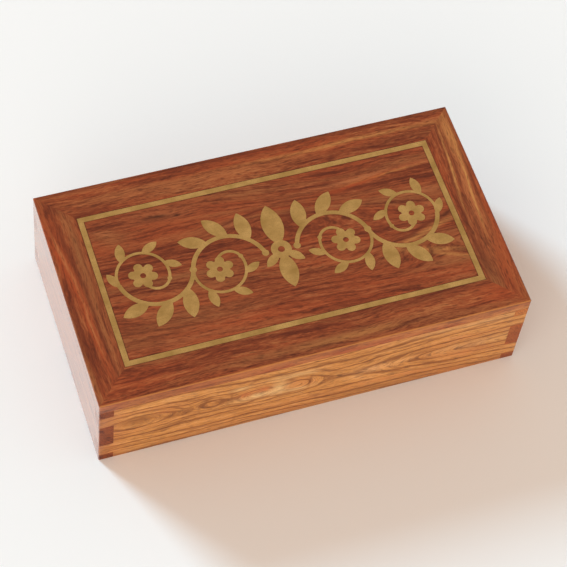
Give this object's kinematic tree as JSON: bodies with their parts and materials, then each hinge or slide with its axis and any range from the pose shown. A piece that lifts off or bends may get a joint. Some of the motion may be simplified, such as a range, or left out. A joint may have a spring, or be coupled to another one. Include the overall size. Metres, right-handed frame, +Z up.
{
  "type": "inlaid wooden box",
  "caption": "Long low wooden keepsake box with finger-jointed sides and a flat hinged lid: a mitred border round a panel inlaid with a brass line and a brass vine scroll.",
  "frame": {"origin": "centre of the box's underside, on the surface that it stands on", "axes": "+X along the length to the right, +Y from the front to the hinged back, +Z up"},
  "size_m": [0.254, 0.141, 0.0635],
  "materials": {
    "side_wood": "satin-varnished golden-brown rosewood with dark grain lines",
    "end_wood": "satin-varnished red-brown rosewood, darker on its end grain",
    "inner_wood": "plain planed rosewood",
    "border_wood": "satin-varnished red-brown rosewood",
    "panel_wood": "satin-varnished dark red-brown rosewood",
    "inlay_brass": "flat brass sheet sanded flush and dulled under the varnish",
    "hinge_brass": "plain drawn brass, lightly tarnished"
  },
  "bodies": {
    "body": {"front_board": "side_wood", "back_board": "side_wood", "left_board": "end_wood", "right_board": "end_wood", "base_panel": "inner_wood", "hinge_left_body_leaf": "hinge_brass", "hinge_left_pin": "hinge_brass", "hinge_right_body_leaf": "hinge_brass", "hinge_right_pin": "hinge_brass", "body_hinge_screws": "hinge_brass"},
    "lid": {"lid_front_rail": "border_wood", "lid_back_rail": "border_wood", "lid_left_rail": "border_wood", "lid_right_rail": "border_wood", "lid_panel": "panel_wood", "lid_splines": "inner_wood", "brass_line_front": "inlay_brass", "brass_line_back": "inlay_brass", "brass_line_left": "inlay_brass", "brass_line_right": "inlay_brass", "brass_vine_left": "inlay_brass", "brass_vine_right": "inlay_brass", "brass_palmette": "inlay_brass", "hinge_left_lid_leaf": "hinge_brass", "hinge_right_lid_leaf": "hinge_brass", "lid_hinge_screws": "hinge_brass"}
  },
  "joints": [
    {"name": "lid_hinge", "type": "hinge", "parent": "body", "child": "lid", "pos_m": [0, 0.0689, 0.05557], "axis": [-1, 0, 0], "range_deg": [0, 100]}
  ]
}
